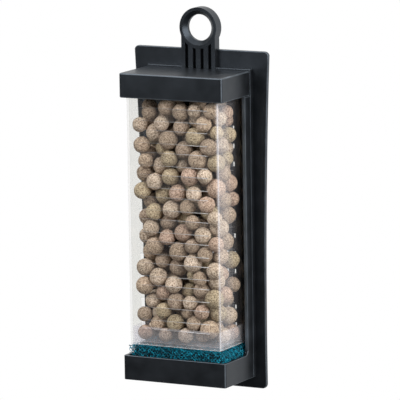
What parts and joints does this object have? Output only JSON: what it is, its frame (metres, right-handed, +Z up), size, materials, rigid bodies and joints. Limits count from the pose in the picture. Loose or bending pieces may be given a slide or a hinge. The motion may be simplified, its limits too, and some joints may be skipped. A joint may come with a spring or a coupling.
{
  "type": "hang-on-back filter media cartridge",
  "caption": "Upright filter cartridge: dark carrier with finger ring and wide back plate, clear slotted box of ceramic balls, foam block and lift-off cap.",
  "frame": {"origin": "centre of the hole in the lifting ring, in the plane of the back plate's front face", "axes": "+X to the right seen from the front, +Y to the back along the ring's hole, +Z up"},
  "size_m": [0.0914, 0.044, 0.2324],
  "materials": {
    "black_abs": "fine satin moulded ABS",
    "clear_plastic": "clear moulded polystyrene",
    "teal_foam": "coarse open-cell polyurethane foam",
    "ceramic": "rough porous fired ceramic"
  },
  "bodies": {
    "carrier": {"back_plate": "black_abs", "rear_panel": "black_abs", "carrier_frame": "black_abs", "lift_handle": "black_abs"},
    "foam": {"foam_block": "teal_foam"},
    "media": {"media_box": "clear_plastic", "box_floor": "clear_plastic", "media_layer_01": "ceramic", "media_layer_02": "ceramic", "media_layer_03": "ceramic", "media_layer_04": "ceramic", "media_layer_05": "ceramic", "media_layer_06": "ceramic", "media_layer_07": "ceramic", "media_layer_08": "ceramic", "media_layer_09": "ceramic", "media_layer_10": "ceramic", "media_layer_11": "ceramic", "media_layer_12": "ceramic"},
    "cap": {"top_cap": "black_abs"}
  },
  "joints": [
    {"name": "foam_lift", "type": "slide", "parent": "carrier", "child": "foam", "axis": [0, 0, 1], "range_m": [0, 0.02]},
    {"name": "box_lift", "type": "slide", "parent": "foam", "child": "media", "axis": [0, 0, 1], "range_m": [0, 0.06]},
    {"name": "cap_lift", "type": "slide", "parent": "media", "child": "cap", "axis": [0, 0, 1], "range_m": [0, 0.03]}
  ]
}
